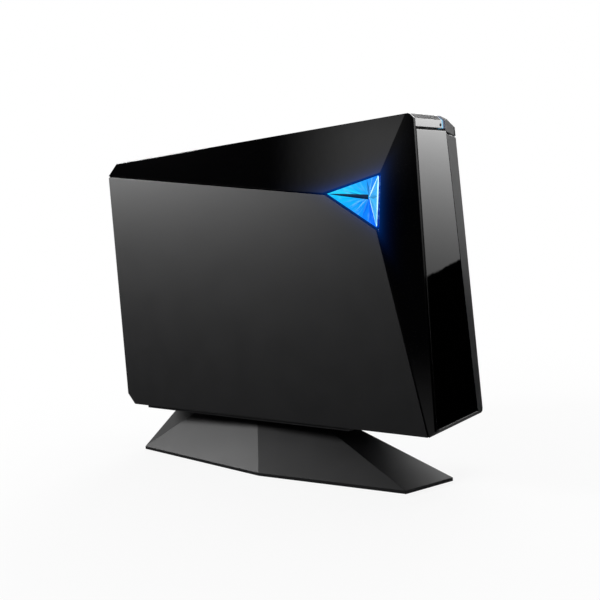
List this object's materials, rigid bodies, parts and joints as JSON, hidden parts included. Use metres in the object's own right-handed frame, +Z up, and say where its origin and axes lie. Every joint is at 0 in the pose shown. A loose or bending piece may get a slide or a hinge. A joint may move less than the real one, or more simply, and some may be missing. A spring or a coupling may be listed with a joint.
{
  "type": "external optical disc drive",
  "caption": "Slim upright external optical disc drive in a faceted case on a low foot, with a motor-driven tray behind a gloss front, a lit corner jewel and rear sockets.",
  "frame": {"origin": "on the floor under the middle of the foot and case", "axes": "+Z up, the front with the tray and eject button faces -Y, the jewelled side faces -X"},
  "size_m": [0.079, 0.243, 0.1975],
  "materials": {
    "satin_black": "satin",
    "gloss_black": "piano gloss",
    "panel_grey": "fine spark texture",
    "bezel_black": "satin",
    "cap_grey": "gloss",
    "clear_blue": "clear",
    "light_blue": "frosted",
    "reflector": "vacuum metallised",
    "rubber": "matt",
    "zinc_screw": "zinc",
    "black_screw": "black oxide",
    "spring_steel": "bright",
    "board_green": "solder mask",
    "chip_black": "moulded",
    "cable_grey": "flat ribbon",
    "foil_amber": "foil",
    "sheet_steel": "galvanised",
    "socket_metal": "nickel",
    "drive_plastic": "moulded",
    "tray_grey": "moulded",
    "gear_white": "acetal",
    "belt_black": "moulded",
    "motor_can": "drawn",
    "steel_plate": "stamped",
    "polished_rod": "ground",
    "turntable_black": "with rubber seat",
    "sled_metal": "die cast",
    "lens_clear": "polished"
  },
  "bodies": {
    "stand": {"stand_base": "satin_black", "stand_top_plate": "satin_black", "stand_feet": "rubber", "stand_screws": "zinc_screw"},
    "case": {"left_cover": "gloss_black", "right_cover": "satin_black", "side_panel": "panel_grey", "front_bezel": "bezel_black", "top_cap": "cap_grey", "status_light": "light_blue", "button_spring": "spring_steel", "gem_lens": "clear_blue", "gem_reflector": "reflector", "led_board": "board_green", "rear_panel": "satin_black", "rear_ribs": "satin_black", "rear_screws": "black_screw", "switch_housing": "chip_black", "dc_jack": "chip_black", "usb_socket": "socket_metal", "bridge_board": "board_green", "bridge_parts": "chip_black", "bus_cable": "cable_grey", "cover_screws": "black_screw", "case_feet": "rubber", "drive_cradle": "sheet_steel", "cradle_screws": "zinc_screw", "drive_screws": "zinc_screw", "drive_top_cover": "sheet_steel", "drive_bottom_cover": "sheet_steel", "drive_bezel": "drive_plastic", "loader_frame": "drive_plastic", "loading_motor": "motor_can", "drive_belt": "belt_black", "clamp_bridge": "sheet_steel", "drive_board": "board_green", "board_parts": "chip_black", "rear_connector": "chip_black", "flex_cable": "foil_amber"},
    "eject_button": {"eject_button": "bezel_black"},
    "drive_key": {"drive_key": "drive_plastic"},
    "tray": {"disc_tray": "tray_grey", "front_door": "gloss_black"},
    "loading_gear": {"loading_gear": "gear_white"},
    "pulley_gear": {"pulley_gear": "gear_white"},
    "motor_pulley": {"motor_pulley": "gear_white"},
    "cam": {"cam_slider": "gear_white"},
    "traverse": {"traverse_holder": "drive_plastic", "dampers": "rubber", "traverse_plate": "steel_plate", "guide_rods": "polished_rod", "spindle_motor": "motor_can", "stepper_motor": "motor_can"},
    "turntable": {"turntable": "turntable_black"},
    "pickup": {"pickup_sled": "sled_metal", "objective_lens": "lens_clear"},
    "lead_screw": {"lead_screw": "polished_rod"},
    "clamp": {"clamp_puck": "drive_plastic"},
    "rocker": {"power_switch": "chip_black"}
  },
  "joints": [
    {"name": "case_lift", "type": "slide", "parent": "stand", "child": "case", "axis": [0, 0, 1], "range_m": [0, 0.06]},
    {"name": "tray_slide", "type": "slide", "parent": "case", "child": "tray", "axis": [0, -1, 0], "range_m": [0, 0.14]},
    {"name": "loading_gear_turn", "type": "hinge", "parent": "case", "child": "loading_gear", "pos_m": [-0.00475, -0.092, 0.08], "axis": [-1, 0, 0], "range_deg": [0, 900]},
    {"name": "pulley_gear_turn", "type": "hinge", "parent": "case", "child": "pulley_gear", "pos_m": [-0.00475, -0.07961, 0.09769], "axis": [1, 0, 0], "range_deg": [0, 2560]},
    {"name": "motor_pulley_turn", "type": "hinge", "parent": "case", "child": "motor_pulley", "pos_m": [-0.0059, -0.086, 0.139], "axis": [1, 0, 0], "range_deg": [0, 7920]},
    {"name": "cam_travel", "type": "slide", "parent": "case", "child": "cam", "axis": [0, 0, 1], "range_m": [0, 0.02405]},
    {"name": "traverse_tilt", "type": "hinge", "parent": "case", "child": "traverse", "pos_m": [0.004, 0.046, 0.115], "axis": [0, 0, 1], "range_deg": [0, 5.52]},
    {"name": "disc_spin", "type": "hinge", "parent": "traverse", "child": "turntable", "pos_m": [-0.008, -0.046, 0.115], "axis": [1, 0, 0], "continuous": true},
    {"name": "clamp_spin", "type": "hinge", "parent": "case", "child": "clamp", "pos_m": [-0.016, -0.046, 0.115], "axis": [1, 0, 0], "continuous": true},
    {"name": "pickup_slide", "type": "slide", "parent": "traverse", "child": "pickup", "axis": [0, 1, 0], "range_m": [0, 0.036]},
    {"name": "lead_screw_turn", "type": "hinge", "parent": "traverse", "child": "lead_screw", "pos_m": [-0.0036, 0.003, 0.1415], "axis": [0, 1, 0], "range_deg": [0, 4330]},
    {"name": "eject_press", "type": "slide", "parent": "case", "child": "eject_button", "axis": [0, 1, 0], "range_m": [0, 0.0012], "stiffness_N_per_m": 600, "deforming": ["button_spring"]},
    {"name": "key_press", "type": "slide", "parent": "case", "child": "drive_key", "axis": [0, 1, 0], "range_m": [0, 0.00121]},
    {"name": "power_rock", "type": "hinge", "parent": "case", "child": "rocker", "pos_m": [-0.0025, 0.1166, 0.1605], "axis": [1, 0, 0], "range_deg": [0, 16]}
  ],
  "couplings": [
    {"joint": "loading_gear_turn", "follows": "tray_slide", "rad_per_m": 111.11},
    {"joint": "pulley_gear_turn", "follows": "tray_slide", "rad_per_m": 317.46},
    {"joint": "motor_pulley_turn", "follows": "tray_slide", "rad_per_m": 984.13},
    {"joint": "cam_travel", "follows": "tray_slide", "ratio": 0.17143},
    {"joint": "traverse_tilt", "follows": "tray_slide", "rad_per_m": 0.68566},
    {"joint": "clamp_spin", "follows": "disc_spin", "ratio": 1},
    {"joint": "lead_screw_turn", "follows": "pickup_slide", "rad_per_m": 2094.4},
    {"joint": "key_press", "follows": "eject_press", "ratio": 1}
  ]
}
